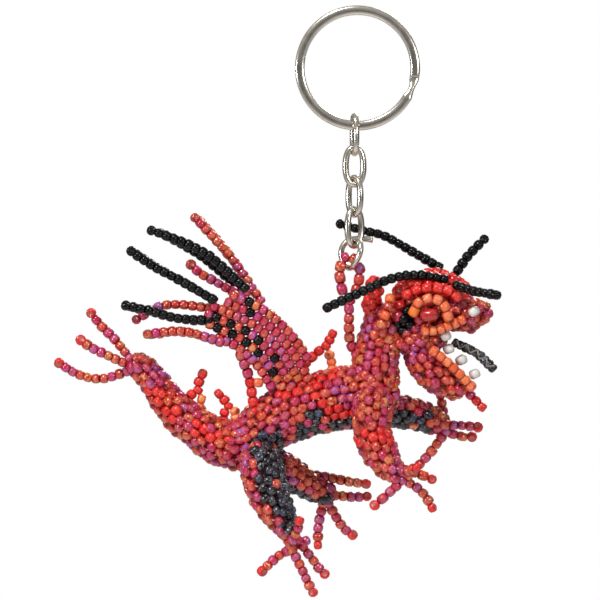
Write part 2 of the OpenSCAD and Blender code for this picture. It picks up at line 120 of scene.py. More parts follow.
# a dark edge runs round the room level with the figure, and draws the thin dark line along bright metal
level = add_node(tree, "ShaderNodeMath", {0: toward.outputs["Z"]}, operation="ABSOLUTE")
edge = add_node(tree, "ShaderNodeMapRange",
                {"Value": level.outputs[0], "From Min": 0.04, "From Max": 0.12, "To Min": 0.25})
wall_light = add_node(tree, "ShaderNodeMath", {0: height.outputs["Result"], 1: edge.outputs["Result"]},
                      operation="MULTIPLY")
seen = add_node(tree, "ShaderNodeLightPath", {}).outputs["Is Camera Ray"]
glow = add_node(tree, "ShaderNodeMix", {0: seen, 2: wall_light.outputs[0], 3: 1.0}, data_type="FLOAT")
room = add_node(tree, "ShaderNodeBackground", {"Color": (1, 1, 1, 1), "Strength": glow.outputs[0]})
add_node(tree, "ShaderNodeOutputWorld", {"Surface": room.outputs["Background"]})
bpy.context.scene.world = world
# plain colour response, so that white stays white and the reds stay deep
bpy.context.scene.view_settings.view_transform = "Standard"


def soft_box(name, place, width, watts):
    """A square soft box that faces the middle of the figure."""
    light = bpy.data.lights.new(name, "AREA")
    light.size = width
    light.energy = watts
    box = link(bpy.data.objects.new(name, light))
    box.location = place
    box.rotation_euler = (view_centre - Vector(place)).to_track_quat("-Z", "Y").to_euler()


soft_box("soft_box_high", (-0.2, -0.45, 0.5), 0.11, 3.6)
soft_box("soft_box_left", (-0.6, -0.45, 0.0), 0.1, 1.8)
soft_box("soft_box_right", (0.5, -0.65, 0.12), 0.09, 1.5)
soft_box("soft_box_behind", (0.25, 0.6, 0.35), 0.25, 2.0)

floor_drop, floor_radius = 0.45, 3.0
floor_shape = bmesh.new()
bmesh.ops.create_circle(floor_shape, cap_ends=True, segments=64, radius=floor_radius,
                        matrix=Matrix.Translation((0, 0, -floor_drop)))
pale_board, tree = new_finish("pale_board")
grain = add_node(tree, "ShaderNodeTexNoise", {"Scale": 30.0, "Detail": 3.0})
paleness = add_node(tree, "ShaderNodeMapRange",
                    {"Value": grain.outputs["Fac"], "To Min": 0.86, "To Max": 0.89})
close_finish(tree, Base_Color=paleness.outputs["Result"], Roughness=0.9)
mesh_object("floor", floor_shape, pale_board)


# ---------------------------------------------------------------- split ring and chain
# The split ring is two turns of flattened spring wire, sprung apart by hand to take a key. The chain is round
# iron wire bent into oval links. Both are barrel plated with nickel, which is warm grey and a little worn.

nickel, tree = new_finish("barrel_plated_nickel")
spot = add_node(tree, "ShaderNodeTexCoord", {}).outputs["Object"]
# wear in spots about 1.5 mm across, drawn coarser than real scratches so that they show
wear = add_node(tree, "ShaderNodeTexNoise", {"Vector": spot, "Scale": 650.0, "Detail": 3.0})
rough = add_node(tree, "ShaderNodeMapRange", {"Value": wear.outputs["Fac"], "To Min": 0.12, "To Max": 0.3})
patches = add_node(tree, "ShaderNodeTexNoise", {"Vector": spot, "Scale": 220.0, "Detail": 2.0})
tint = add_node(tree, "ShaderNodeMix",
                {0: patches.outputs["Fac"], 6: linear("#bdb5a8"), 7: linear("#f2ebdf")}, data_type="RGBA")
dents = add_node(tree, "ShaderNodeBump",
                 {"Height": patches.outputs["Fac"], "Strength": 0.25, "Distance": 0.15 * MM})
close_finish(tree, Base_Color=tint.outputs[2], Metallic=1.0, Roughness=rough.outputs["Result"],
             Normal=dents.outputs["Normal"])

wire_width, wire_thick = 1.9 * MM, 0.94 * MM
coil_step = 0.5 * MM
ring_radius = 25 * MM / 2 - wire_width / 2
# in degrees round the ring: where the wire starts and ends, and where it cranks over to its second turn
coil_start, coil_end, coil_facet = -9, 689, 3
crank_start, crank_length, crank_pinch = 330, 18, 0.38
end_round = 0.08 * MM


def coil_wire(points):
    """A wire of the split ring's section, along places given as (angle, y, share of its width)."""
    work = bmesh.new()
    section = [(0.5, 0.1), (0.46, 0.28), (0.34, 0.42), (0.14, 0.49),
               (-0.14, 0.49), (-0.34, 0.42), (-0.46, 0.28), (-0.5, 0.1)]
    section += [(x, -y) for x, y in reversed(section)]
    rings = []
    for angle, y, wide in points:
        out = Vector((math.cos(angle), 0, math.sin(angle)))
        rings.append([work.verts.new(out * (ring_radius + x * wide * wire_width) + Y * (y + t * wire_thick))
                      for x, t in section])
    edges = [[work.edges.new((ring[i - 1], ring[i])) for i in range(len(ring))] for ring in rings]
    for a, b in zip(edges, edges[1:]):
        bmesh.ops.bridge_loops(work, edges=a + b)
    for end in (edges[0], edges[-1]):
        bmesh.ops.edgeloop_fill(work, edges=end)
    bmesh.ops.recalc_face_normals(work, faces=work.faces)
    for face in work.faces:
        face.smooth = len(face.verts) == 4
    return work


def coil_place(degrees):
    """Angle, distance from the ring's middle plane and share of full width, which is less at the crank."""
    share = min(1, max(0, (degrees - crank_start) / crank_length))
    return math.radians(degrees), coil_step * (2 * share - 1), 1 - crank_pinch * math.sin(math.pi * share)


coil = coil_wire([coil_place(degrees) for degrees in range(coil_start, coil_end, coil_facet)])
bmesh.ops.bevel(coil, geom=[e for e in coil.edges if any(len(f.verts) > 4 for f in e.link_faces)],
                offset=end_round, offset_type="OFFSET", segments=2, profile=0.5, affect="EDGES", material=-1)
ring = mesh_object("split_ring_wire", coil, nickel)
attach(ring, "key_ring")
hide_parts("split_ring")

# sides round a round wire, and the steps along it in millimetres
wire_sides, bend_step, oval_step = 16, 0.55, 0.4
# the jump ring's wire, from the cut end that stands out beside the chain round to its other end
open_link_r = 0.6
open_link_route = [
    (3.1, 2.9, -34.4), (0.9, 3, -34.1), (-1.6, 2.9, -34.4), (-3, 2.7, -35.8), (-3.2, 2.6, -37.6),
    (-2.6, 2.1, -39.2), (-1.9, 1.1, -39.9), (-1.5, 0, -40), (-1.1, -1.1, -39.9), (-0.4, -2.1, -38.9),
    (0.4, -2.6, -37.2), (0.6, -2.4, -35.8), (0.35, -1.5, -34.8), (-0.6, 0, -34.35), (-1.5, 1.1, -34.8),
]


def smooth_route(points, steps):
    """Points along the smooth curve through a list of tuples, and the curve's length at each."""
    rows = [np.array(p, float) for p in points]
    line = []
    for i in range(len(rows) - 1):
        a, b, c, d = rows[max(i - 1, 0)], rows[i], rows[i + 1], rows[min(i + 2, len(rows) - 1)]
        for t in np.arange(steps) / steps:
            line.append(0.5 * (2 * b + (c - a) * t + (2 * a - 5 * b + 4 * c - d) * t ** 2
                               + (3 * b - a - 3 * c + d) * t ** 3))
    line = np.array(line + [rows[-1]])
    steps_run = np.linalg.norm(np.diff(line[:, :3], axis=0), axis=1)
    return line, np.concatenate([[0], np.cumsum(steps_run)])


def at_run(line, run, s):
    """The curve's values at distance s, and its direction there."""
    reach = 0.3
    values = np.array([np.interp(s, run, column) for column in line.T])
    ahead = np.array([np.interp(min(s + reach, run[-1]), run, column) for column in line.T[:3]])
    behind = np.array([np.interp(max(s - reach, 0), run, column) for column in line.T[:3]])
    return values, Vector(ahead - behind).normalized()


def round_wire(route, radius, segments, pitch, closed=False):
    """A round wire swept along a smooth route in millimetres; a closed route ends where it starts."""
    work = bmesh.new()
    line, run = smooth_route(route, 8)
    count = round(run[-1] / pitch)
    across = Vector((0.5, 0.75, 0.2))
    loops = []
    for i in range(count if closed else count + 1):
        values, along = at_run(line, run, run[-1] * i / count)
        across = (across - along * across.dot(along)).normalized()
        turn = Matrix((along.cross(across), across, along)).transposed().to_4x4()
        place = Matrix.Translation(Vector(values[:3]) * MM) @ turn
        made = bmesh.ops.create_circle(work, segments=segments, radius=radius * MM, matrix=place)["verts"]
        loops.append(list({e for v in made for e in v.link_edges}))
    for a, b in zip(loops, loops[1:] + loops[:1] if closed else loops[1:]):
        bmesh.ops.bridge_loops(work, edges=a + b)
    for end in [] if closed else (loops[0], loops[-1]):
        bmesh.ops.edgeloop_fill(work, edges=end)
    bmesh.ops.recalc_face_normals(work, faces=work.faces)
    for face in work.faces:
        face.smooth = len(face.verts) == 4
    return work


jump_ring = mesh_object("open_link_wire",
                        round_wire(open_link_route, open_link_r, wire_sides, bend_step), nickel)
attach(jump_ring, "open_ring")
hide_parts("open_link")

link_wire_r = 0.64
oval_power, oval_points = 2.3, 24
for name in ("chain_link_1", "chain_link_2", "chain_link_3", "chain_link_4"):
    corners = np.array([v.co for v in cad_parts[name].data.vertices]) / MM
    middle = (corners.min(axis=0) + corners.max(axis=0)) / 2
    across, along = np.linalg.eigh(np.cov((corners - middle).T))[1].T[1:]
    half_width, half_length = (np.abs((corners - middle) @ way).max() - link_wire_r
                               for way in (across, along))
    # each link is bent to an oval a little fuller than an ellipse
    route = []
    for step in range(oval_points + 1):
        turn = math.tau * step / oval_points
        c, d = (math.copysign(abs(v) ** (2 / oval_power), v) for v in (math.cos(turn), math.sin(turn)))
        route.append(tuple(middle + across * half_width * c + along * half_length * d))
    oval = mesh_object(f"{name}_wire", round_wire(route, link_wire_r, wire_sides, oval_step, closed=True),
                       nickel)
    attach(oval, f"link_{name[-1]}")
    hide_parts(name)


# ---------------------------------------------------------------- seed beads
# A seed bead is a slice of drawn glass tube, 2.1 mm across, tumbled hot until its ends are round, so no two
# are quite alike. Most are clear red glass with a rainbow metal-oxide coat that flashes gold and violet.

bead_d, bead_len, hole_d = 2.1, 1.55, 0.8
bead_r = bead_d / 2
bead_sides, eye_sides = 10, 24
# the share by which beads differ in width, and how far they lean off their thread
unevenness, slack = 0.08, 0.08
# the hole's mouths are closed a little way in, where the thread fills them
bead_profile = [(0, -0.3), (hole_d / 2, -0.4), (0.6 * bead_r, -0.5), (0.89 * bead_r, -0.36), (bead_r, 0),
                (0.89 * bead_r, 0.36), (0.6 * bead_r, 0.5), (hole_d / 2, 0.4), (0, 0.3)]


def turned_shape(name, profile, length, steps):
    """A glass shape turned about Z from a profile of (radius in mm, share of length).

    Its attributes are the share of the way to its ends, 1 in its hole's mouths, and each bead's own tone.
    """
    work = bmesh.new()
    corners = [work.verts.new((radius * MM, 0, share * length * MM)) for radius, share in profile]
    edges = [work.edges.new(pair) for pair in zip(corners, corners[1:])]
    bmesh.ops.spin(work, geom=corners + edges, cent=(0, 0, 0), axis=(0, 0, 1), angle=math.tau, steps=steps,
                   use_merge=True)
    bmesh.ops.remove_doubles(work, verts=work.verts, dist=0.001 * MM)
    bmesh.ops.recalc_face_normals(work, faces=work.faces)
    for face in work.faces:
        face.smooth = True
    shape = bpy.data.meshes.new(name)
    work.to_mesh(shape)
    work.free()
    along = shape.attributes.new("along", "FLOAT", "POINT")
    along.data.foreach_set("value", [abs(v.co.z) / (length * MM / 2) for v in shape.vertices])
    thread = shape.attributes.new("thread", "FLOAT", "POINT")
    thread.data.foreach_set("value", [float(math.hypot(v.co.x, v.co.y) < hole_d / 2 * MM * 1.01)
                                      for v in shape.vertices])
    shape.attributes.new("tone", "FLOAT_COLOR", "POINT")
    return shape


seed_bead = turned_shape("seed_bead", bead_profile, bead_len, bead_sides)
chance = random.Random(11)


def add_bead(work, shape, centre, axis, finish, length=bead_len, width=1):
    """Adds one bead to a bmesh, by its centre in millimetres, its hole's axis and its material index."""
    wide = width * chance.uniform(1 - unevenness, 1 + unevenness)
    lean = Vector([chance.gauss(0, slack) for _ in range(3)])
    turn = (axis + lean).to_track_quat("Z", "Y").to_matrix().to_4x4()
    size = Matrix.Diagonal((wide, wide, length / bead_len, 1))
    place = Matrix.Translation(Vector(centre) * MM) @ turn @ size
    bead = shape.copy()
    bead.transform(place)
    bead.polygons.foreach_set("material_index", [finish] * len(bead.polygons))
    tone = [chance.random(), chance.random(), chance.random(), 1]
    bead.attributes["tone"].data.foreach_set("color", tone * len(bead.vertices))
    work.from_mesh(bead)
    bpy.data.meshes.remove(bead)


def colour_ramp(tree, factor, colours):
    """Evenly spaced sRGB colours along a factor."""
    ramp = add_node(tree, "ShaderNodeValToRGB", {"Fac": factor})
    while len(ramp.color_ramp.elements) < len(colours):
        ramp.color_ramp.elements.new(0.5)
    for i, (element, colour) in enumerate(zip(ramp.color_ramp.elements, colours)):
        element.position = i / max(1, len(colours) - 1)
        element.color = linear(colour)
    return ramp.outputs["Color"]


def glass_finish(name, tones, sheen_colours, sheen_share, deep, heart_share=0.0, mouth="#b4605a", **shader):
    """Bead glass, with a body colour and a colour of painted coat sheen picked for each bead.

    The coat's sheen is painted on in patches, the ends are darkened with painted shade where they meet the
    next beads, and in clear glass the pale thread shows through the middle. The mouth colour is that of the
    thread in the hole.
    """
    finish, tree = new_finish(name)
    tone = add_node(tree, "ShaderNodeAttribute", {}, attribute_name="tone")
    pick = add_node(tree, "ShaderNodeSeparateColor", {"Color": tone.outputs["Color"]})
    body = colour_ramp(tree, pick.outputs["Red"], tones)
    painted_sheen = colour_ramp(tree, pick.outputs["Blue"], sheen_colours)
    spot = add_node(tree, "ShaderNodeTexCoord", {}).outputs["Object"]
    along = add_node(tree, "ShaderNodeAttribute", {}, attribute_name="along").outputs["Fac"]
    if heart_share:
        middle = add_node(tree, "ShaderNodeMapRange",
                          {"Value": along, "From Max": 0.62, "To Min": heart_share, "To Max": 0.0})
        seen = add_node(tree, "ShaderNodeMath", {0: middle.outputs["Result"], 1: pick.outputs["Blue"]},
                        operation="MULTIPLY")
        body = add_node(tree, "ShaderNodeMix", {0: seen.outputs[0], 6: body, 7: linear("#e08c84")},
                        data_type="RGBA").outputs[2]
    # patches of the coat's painted sheen, about half a bead wide
    sheen_patch = add_node(tree, "ShaderNodeTexNoise", {"Vector": spot, "Scale": 1200.0, "Detail": 1.0})
    sheen_amount = add_node(tree, "ShaderNodeMapRange", {"Value": sheen_patch.outputs["Fac"], "From Min": 0.48,
                                                   "From Max": 0.56, "To Max": sheen_share})
    share = add_node(tree, "ShaderNodeMath", {0: sheen_amount.outputs["Result"], 1: pick.outputs["Green"]},
                     operation="MULTIPLY")
    with_painted_sheen = add_node(tree, "ShaderNodeMix", {0: share.outputs[0], 6: body, 7: painted_sheen}, data_type="RGBA")
    # the ends are mixed towards the dark colour: painted shade where each bead meets the next
    end = add_node(tree, "ShaderNodeMapRange",
                   {"Value": along, "From Min": 0.55, "From Max": 0.97, "To Max": 0.5})
    colour = add_node(tree, "ShaderNodeMix",
                      {0: end.outputs["Result"], 6: with_painted_sheen.outputs[2], 7: linear(deep)},
                      data_type="RGBA").outputs[2]
    hole = add_node(tree, "ShaderNodeAttribute", {}, attribute_name="thread").outputs["Fac"]
    colour = add_node(tree, "ShaderNodeMix", {0: hole, 6: colour, 7: linear(mouth)}, data_type="RGBA")
    # the tumbled surface ripples every 0.7 mm or so
    ripple = add_node(tree, "ShaderNodeTexNoise", {"Vector": spot, "Scale": 1500.0, "Detail": 2.0})
    bump = add_node(tree, "ShaderNodeBump", {"Height": ripple.outputs["Fac"], "Strength": 0.2,
                                             "Distance": 0.15 * MM})
    close_finish(tree, Base_Color=colour.outputs[2], Normal=bump.outputs["Normal"], **shader)
    return finish


# each finish lists body colours, then painted sheen colours and share, then the painted shade at its ends
# clear red glass with a thin gold coat: crimson beads, their gold and salmon sheen painted on
gold_rainbow = glass_finish("rainbow_glass_gold", ["#b01018", "#c0181c", "#cc2820", "#b81a22"],
                            ["#e09034", "#e4a468", "#d86044", "#d87c50"], 0.8, "#7c080e", 0.4,
                            Roughness=0.12, IOR=1.75, Transmission_Weight=0.1,
                            Specular_Tint=linear("#ffdcb0"), Thin_Film_Thickness=420.0, Thin_Film_IOR=1.9,
                            Coat_Weight=0.4, Coat_Roughness=0.03)
# clear red glass with a violet coat: raspberry beads, their violet, lavender and pink sheen painted on
violet_rainbow = glass_finish("rainbow_glass_violet", ["#b01020", "#be1828", "#ba1438", "#b0122c"],
                              ["#c03088", "#c8508c", "#8e70c8", "#a048b4"], 0.8, "#780818", 0.4,
                              Roughness=0.12, IOR=1.75, Transmission_Weight=0.1,
                              Specular_Tint=linear("#ffccec"), Thin_Film_Thickness=330.0,
                              Thin_Film_IOR=1.75, Coat_Weight=0.4, Coat_Roughness=0.03)
# opaque red glass, the same bright red right through
opaque_red = glass_finish("opaque_red_glass", ["#c81614", "#d41e1a", "#dc2a22"], ["#f05a48", "#f26c58"],
                          0.3, "#a80e0c", Roughness=0.2, IOR=1.52)
# opaque orange glass with a pearl lustre, painted on as paler patches of sheen
orange_pearl = glass_finish("orange_pearl_glass", ["#d84a1c", "#e25c2a", "#e46c3c", "#ea7412"],
                            ["#ffa070", "#ffb48c"], 0.5, "#a82c0e", Roughness=0.18, IOR=1.55,
                            Coat_Weight=0.3, Coat_Roughness=0.08)
# opaque jet black glass, fire polished
jet = glass_finish("jet_black_glass", ["#030304", "#060607", "#08080a"], ["#101012", "#141416"], 0.3,
                   "#020203", 0.0, "#100c0c", Roughness=0.07, IOR=1.5, Specular_IOR_Level=0.28)
# black glass with a fired metal lustre, its blue, violet, bronze and grey sheen painted on in patches
hematite = glass_finish("hematite_lustre_glass", ["#120e12", "#1e191c", "#1c1c26", "#2c2725", "#1e171f"],
                        ["#4c5c84", "#7c7880", "#6a5a80", "#7e7466"], 0.85, "#0c0a0c", 0.0, "#6a5450",
                        Roughness=0.2, Metallic=0.2, IOR=1.65)
GLASS_MIX = (gold_rainbow, violet_rainbow, opaque_red, hematite, jet, orange_pearl)
GOLD, VIOLET, RED, DARK, JET, ORANGE = range(6)


def any_rainbow():
    return GOLD if chance.random() < 0.5 else VIOLET


def finish_piece(name, work, finishes, body, slot, *nodes):
    """Makes a piece of a bmesh, rides it on its body and hides the CAD nodes it stands for."""
    piece = mesh_object(name, work, *finishes)
    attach(piece, body)
    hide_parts(*nodes)
    return piece


# ---------------------------------------------------------------- nylon thread
# One clear nylon monofilament, 0.25 mm thick, sews everything together. It looks milky pink between the red
# beads, and short lengths of it show where it crosses from one bead to the next.

nylon, tree = new_finish("nylon_monofilament")
spot = add_node(tree, "ShaderNodeTexCoord", {}).outputs["Object"]
haze = add_node(tree, "ShaderNodeTexNoise", {"Vector": spot, "Scale": 500.0, "Detail": 2.0})
milk = add_node(tree, "ShaderNodeMix",
                {0: haze.outputs["Fac"], 6: linear("#b0706a"), 7: linear("#e6cbc2")}, data_type="RGBA")
close_finish(tree, Base_Color=milk.outputs[2], Roughness=0.3, IOR=1.53, Transmission_Weight=0.2)
for name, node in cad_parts.items():
    if name.endswith("thread"):
        node.data.materials.clear()
        node.data.materials.append(nylon)


def add_stitch(work, start, end, finish_index, width=0.27):
    """Adds a short bare length of thread between two places in millimetres."""
    gap = end - start
    place = Matrix.Translation((start + end) / 2 * MM) @ gap.to_track_quat("Z", "Y").to_matrix().to_4x4()
    radius = width / 2 * MM
    made = bmesh.ops.create_cone(work, cap_ends=True, segments=5, radius1=radius, radius2=radius,
                                 depth=gap.length * MM, matrix=place)["verts"]
    for face in {f for v in made for f in v.link_faces}:
        face.material_index = finish_index
        face.smooth = True


# ---------------------------------------------------------------- woven body
# Body, neck, head, jaw, tail and legs are hollow tubes of peyote weave: every bead's hole runs round the
# tube, and each ring's beads sit in the gaps of the next. Rings lie half a bead width apart along the tube.

# rings along a tube, beads round a ring, how deep the hollow starts and how unevenly the beads lie
ring_spacing, ring_pitch, core_depth, surface_jitter = 1.0, 1.66, 1.5, 0.11
# a ring is counted a little larger than the middle of its beads, so that they crowd together
count_room = 1.3

# the middle of each tube in millimetres, with its half height and half depth there
tubes = {
    "torso_weave": [(-26.5, 0, -75, 5, 4.8), (-22.6, 0, -75.2, 5.5, 5), (-18, 0, -71.6, 5.6, 5.1),
                    (-12, 0, -68.2, 6.2, 5.2), (-4, 0, -66.2, 6.4, 5.3), (2.6, 0, -65, 6.2, 5.1)],
    "neck_weave": [(3.4, 0, -63.5, 5.4, 4.9), (3.8, 0, -57.5, 4.7, 4.6), (5.3, 0, -52, 4.6, 4.6)],
    "head_weave": [(10.2, 0, -50, 4.9, 4.8), (13.6, 0, -49.4, 5.2, 5), (16.6, 0, -48.9, 4.3, 4.4)],
    "snout_weave": [(19.6, 0, -48.9, 3.8, 3.9), (22, 0, -49.3, 3.8, 3.6), (24.3, 0, -49, 3, 2.9)],
    "jaw_weave": [(12.9, 0, -58.1, 3.6, 3.6), (15.8, 0, -61.3, 4, 3.8), (19.2, 0, -63.7, 2.8, 3)],
    "tail_weave": [(-27.5, 0, -75, 4.8, 4.8), (-33.2, 0, -71.2, 4.2, 3.9), (-37.4, 0, -67.2, 3.7, 3.4),
                   (-40.5, 0, -62.8, 3.2, 3), (-43.4, 0, -59.7, 2.9, 2.7)],
    "leg_front_near_weave": [(3, -5.4, -67.6, 4.2, 4.2), (3, -7.8, -73.6, 3.9, 3.5), (5.4, -9, -78.2, 3.5, 3),
                             (7.4, -9.6, -81, 2.4, 2.3)],
    "leg_front_far_weave": [(4.8, 5.6, -68.4, 3.5, 3.5), (10.8, 7.2, -69.3, 3.4, 3.1),
                            (15.4, 8.4, -70.6, 2.9, 2.6)],
    "leg_hind_near_weave": [(-19.3, -4.6, -79, 4.5, 4.5), (-18, -6.8, -84.4, 4.5, 3.8),
                            (-15.4, -8.2, -89.6, 3.4, 2.9), (-13.6, -9, -92.7, 2.3, 2.2)],
    "leg_hind_far_weave": [(-16, 4.8, -79.4, 3.4, 3.4), (-10.6, 7, -83.2, 3.2, 3),
                           (-6.6, 8.2, -85.2, 2.6, 2.4)],
    # the mane's column of beads, a low cap on the skull, and the soft fold between skull and jaw
    "mane_beads": [(3, 0, -48.4, 2.1, 2.6), (3.1, 0, -45.6, 2.1, 2.4), (3.4, 0, -43.4, 1.9, 2)],
    "crown": [(8.6, 0, -44.8, 2, 3.2), (12.6, 0, -43.2, 2.7, 4.2), (17, 0, -44.2, 2.8, 3.7),
              (20.4, 0, -45.6, 2.2, 3)],
    "throat": [(9.6, 0, -54.4, 3, 4.1), (13.4, 0, -54.9, 2.6, 4), (16.2, 0, -54.4, 1.9, 3)],
}


def tube_rings(points):
    """Rings along a tube and its domed ends: middle, up, side, direction, half height, half depth."""
    line, run = smooth_route(points, 8)
    stops = []
    for radius, start, sign in ((points[0][3] - bead_r, 0, -1), (points[-1][3] - bead_r, run[-1], 1)):
        step = ring_spacing / max(radius, 1)
        turns = [step * i for i in range(1, int(1.3 / step) + 1)]
        stops += [(start, sign * radius * math.sin(a), math.cos(a)) for a in turns]
    count = max(2, round(run[-1] / ring_spacing))
    stops += [(run[-1] * i / count, 0, 1) for i in range(count + 1)]
    stops.sort(key=lambda stop: stop[0] + stop[1])
    rings = []
    for s, beyond, scale in stops:
        values, along = at_run(line, run, s)
        up = along.cross(Y).normalized()
        middle = Vector(values[:3]) + along * beyond
        rings.append((middle, up, along.cross(up), along, (values[3] - bead_r) * scale,
                      (values[4] - bead_r) * scale))
    return rings


all_rings = {name: tube_rings(points) for name, points in tubes.items()}


def depth_inside(place, name):
    """How many millimetres a point lies inside a tube's layer of bead centres; it is negative outside."""
    best = -9
    for middle, up, side, along, high, deep in all_rings[name]:
        gap = place - middle
        if abs(gap.dot(along)) < 0.8:
            reach = math.hypot(gap.dot(up) / max(high, 0.3), gap.dot(side) / max(deep, 0.3))
            best = max(best, (1 - reach) * min(high, deep))
    return best


def near_line(place, line, reach):
    """Whether a point is within reach of a line of (x, z) points, as seen from the side."""
    spot = Vector((place.x, place.z))
    for a, b in zip(line, line[1:]):
        a, b = Vector(a), Vector(b)
        t = max(0, min(1, (spot - a).dot(b - a) / (b - a).length_squared))
        if (spot - a.lerp(b, t)).length < reach:
            return True
    return False


flank_zigzag = [
    [(-15.8, -65.8), (-14.6, -63.8), (-13.2, -62)],
    [(-13.4, -65.9), (-11, -64), (-8.9, -62.7), (-7.6, -60.9)],
    [(-9.4, -65.6), (-7.8, -66.3), (-6, -67.6), (-4, -68.8), (-1.2, -68.6)],
    [(-8.2, -64.8), (-7, -63), (-5.4, -61.2), (-3.4, -60.2)],
]
tail_stripe = [(-40.5, -64.6), (-37.6, -68), (-34, -71), (-30.6, -72.8), (-26.5, -74.8)]
knee = [(1.2, -73.4), (5.2, -74)]
cheek_chevron = [(6.5, -50.6), (8, -52.4), (9.4, -51.2), (10.6, -48)]


def body_choice(name, place, outward):
    """Material index of a bead of the body by where it lies."""
    rainbow = any_rainbow()
    luck = chance.random()
    if name == "torso_weave":
        if any(near_line(place, line, 1.0) for line in flank_zigzag):
            return RED if luck < 0.8 else rainbow
        if -12.5 < place.x < 0.5 and place.z < (-67.8 if -11 < place.x < -5 else -69) and luck < 0.9:
            return DARK
        if -20.5 < place.x < -15 and place.z < -72.5 and luck < 0.9:
            return DARK
    if name == "tail_weave" and near_line(place, tail_stripe, 1.1):
        return RED if luck < 0.6 else rainbow
    if name == "leg_front_near_weave" and near_line(place, knee, 1.4):
        return RED
    if name == "leg_hind_near_weave" and outward.x > -0.3 and luck < 0.94:
        return DARK
    if name == "leg_hind_far_weave" and (outward.z < -0.5 or place.x < -14.5):
        return DARK
    if name == "leg_front_far_weave" and outward.z < 0.2 and place.x < 14.5 and luck < 0.92:
        return DARK
    if name in ("head_weave", "neck_weave") and near_line(place, cheek_chevron, 0.95):
        return JET
    if name == "mane_beads":
        return ORANGE if place.z > -42.4 else RED
    if name == "crown" or name == "head_weave" and (place.z > -46.5 or place.x < 9.6 and place.z > -49.2):
        return RED
    if name == "snout_weave" and place.z > -47.5 and luck < 0.35:
        return ORANGE
    return rainbow


# which tube each limb turns against, and the tubes that are sewn into one another
limb_roots = {"tail_weave": "torso_weave", "leg_front_near_weave": "torso_weave",
              "leg_front_far_weave": "torso_weave", "leg_hind_near_weave": "torso_weave",
              "leg_hind_far_weave": "torso_weave"}
sewn = {"torso_weave": ["neck_weave"], "neck_weave": ["torso_weave"],
        "head_weave": ["snout_weave", "neck_weave"], "snout_weave": ["head_weave"],
        "jaw_weave": ["neck_weave"], "crown": ["head_weave"], "mane_beads": ["neck_weave"],
        "throat": ["head_weave", "neck_weave", "jaw_weave"], "leg_front_near_weave": ["neck_weave"]}
sewn_depth, limb_depth, root_clearance = 0.5, 2.1, -0.9


def keeps_bead(name, place):
    """Whether a bead of a tube shows, and isn't buried in another tube."""
    if any(depth_inside(place, other) > sewn_depth for other in sewn.get(name, [])):
        return False
    if name in limb_roots and depth_inside(place, limb_roots[name]) > limb_depth:
        return False
    for limb, parent in limb_roots.items():
        if parent == name or (name == "neck_weave" and limb.startswith("leg_front")):
            root = Vector(tubes[limb][0][:3])
            if (place - root).length < tubes[limb][0][3] + root_clearance:
                return False
    return True


# the hollow inside of the weave, with bead backs and threads in shadow about 1 mm apart
inner_weave, tree = new_finish("inner_weave_shadow")
spot = add_node(tree, "ShaderNodeTexCoord", {}).outputs["Object"]
net = add_node(tree, "ShaderNodeTexVoronoi", {"Vector": spot, "Scale": 900.0})
dusk = add_node(tree, "ShaderNodeMix",
                {0: net.outputs["Distance"], 6: linear("#8a1418"), 7: linear("#c04a42")}, data_type="RGBA")
close_finish(tree, Base_Color=dusk.outputs[2], Roughness=0.5)
CORE, THREAD = len(GLASS_MIX), len(GLASS_MIX) + 1
BODY_MIX = GLASS_MIX + (inner_weave, nylon)


def add_core(work, rings, segments=16):
    """Adds the tube's inside, just under its beads, so that no gap shows right through."""
    loops = []
    depth = core_depth - bead_r
    for middle, up, side, along, high, deep in rings:
        turn = Matrix((up, side, along)).transposed().to_4x4()
        shape = Matrix.Diagonal((max(high - depth, 0.2) * MM, max(deep - depth, 0.2) * MM, 1, 1))
        made = bmesh.ops.create_circle(work, segments=segments, radius=1,
                                       matrix=Matrix.Translation(middle * MM) @ turn @ shape)["verts"]
        loops.append(list({e for v in made for e in v.link_edges}))
    faces = []
    for a, b in zip(loops, loops[1:]):
        faces += bmesh.ops.bridge_loops(work, edges=a + b)["faces"]
    for end in (loops[0], loops[-1]):
        faces += bmesh.ops.edgeloop_fill(work, edges=end)["faces"]
    for face in faces:
        face.material_index = CORE
        face.smooth = True
    bmesh.ops.recalc_face_normals(work, faces=work.faces)


body_of_tube = {"torso_weave": "torso", "neck_weave": "torso", "head_weave": "head", "snout_weave": "head",
                "crown": "head", "throat": "head", "mane_beads": "torso", "jaw_weave": "lower_jaw",
                "tail_weave": "tail", "leg_front_near_weave": "near_front_leg",
                "leg_front_far_weave": "far_front_leg", "leg_hind_near_weave": "near_hind_leg",
                "leg_hind_far_weave": "far_hind_leg"}
# woven beads are on the large side; stitches show on half of them, near the tops of the beads
bead_swell, bead_lengths = 1.08, (1.02, 1.36)
stitch_share, stitch_lift, stitch_reach = 0.5, 0.66, 2.2
# each end of a stitch lies this share of the way in between its two beads
stitch_inset = 0.2

